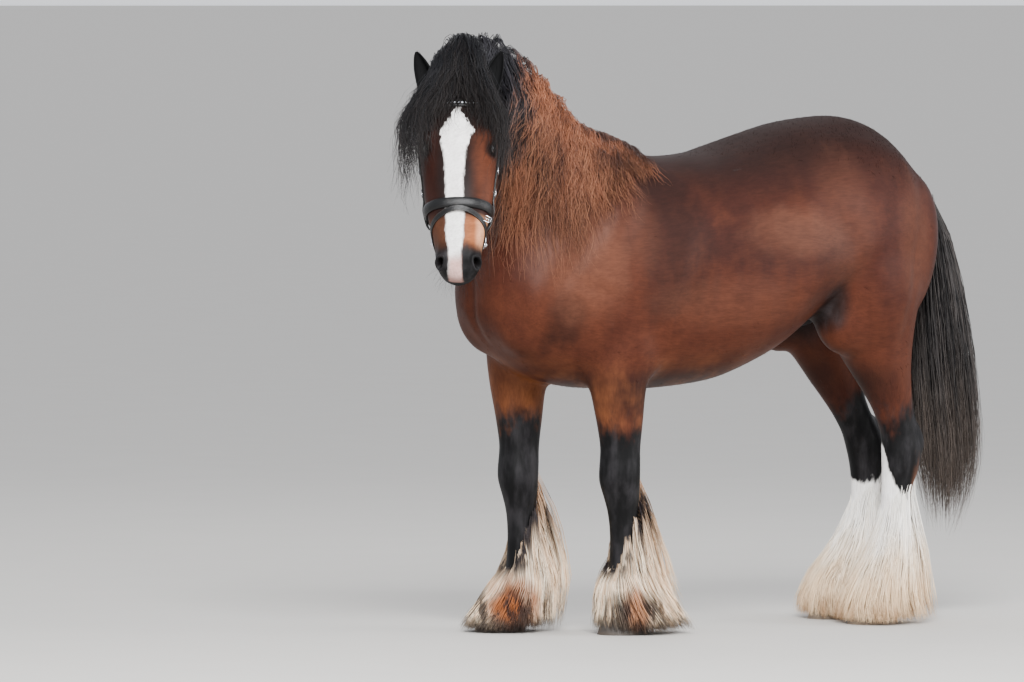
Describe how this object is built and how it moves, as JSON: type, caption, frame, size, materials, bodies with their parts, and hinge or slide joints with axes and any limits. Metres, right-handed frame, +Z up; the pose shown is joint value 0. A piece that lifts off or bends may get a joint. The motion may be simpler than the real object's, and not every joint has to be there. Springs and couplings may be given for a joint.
{
  "type": "gypsy cob horse",
  "caption": "Life-size still model of a standing cob horse with long mane, tail and leg feather, looking back to its left, in a plain snaffle bridle.",
  "frame": {"origin": "centre of the base of the bounding box, on the plane of the hoof soles", "axes": "+X from the head to the tail, -Y to the horse's left, +Z up"},
  "size_m": [2.1434, 0.7574, 1.7492],
  "materials": {
    "bay_coat": "short glossy horse coat, red-brown",
    "black_coat": "short black horse coat",
    "cream_feather": "long soft white and cream hair",
    "mane_hair": "long coarse wavy hair, black to auburn",
    "tail_hair": "long coarse black hair",
    "hoof_horn": "dull grey horn",
    "eye": "wet dark brown",
    "black_leather": "smooth black leather with a soft sheen",
    "steel": "polished steel"
  },
  "bodies": {
    "root": {"bridle_bit": "steel", "bridle_flash": "black_leather", "bridle_headpiece": "black_leather", "bridle_noseband": "black_leather", "ear_left": "black_coat", "ear_right": "black_coat", "eye_left": "eye", "eye_right": "eye", "feather_fore_left": "cream_feather", "feather_fore_right": "cream_feather", "feather_hind_left": "cream_feather", "feather_hind_right": "cream_feather", "foreleg_left": "black_coat", "foreleg_right": "black_coat", "forelock": "tail_hair", "head": "bay_coat", "hindleg_left": "black_coat", "hindleg_right": "black_coat", "hoof_fore_left": "hoof_horn", "hoof_fore_right": "hoof_horn", "hoof_hind_left": "hoof_horn", "hoof_hind_right": "hoof_horn", "mane": "mane_hair", "neck": "bay_coat", "tail": "tail_hair", "torso": "bay_coat"}
  },
  "joints": []
}
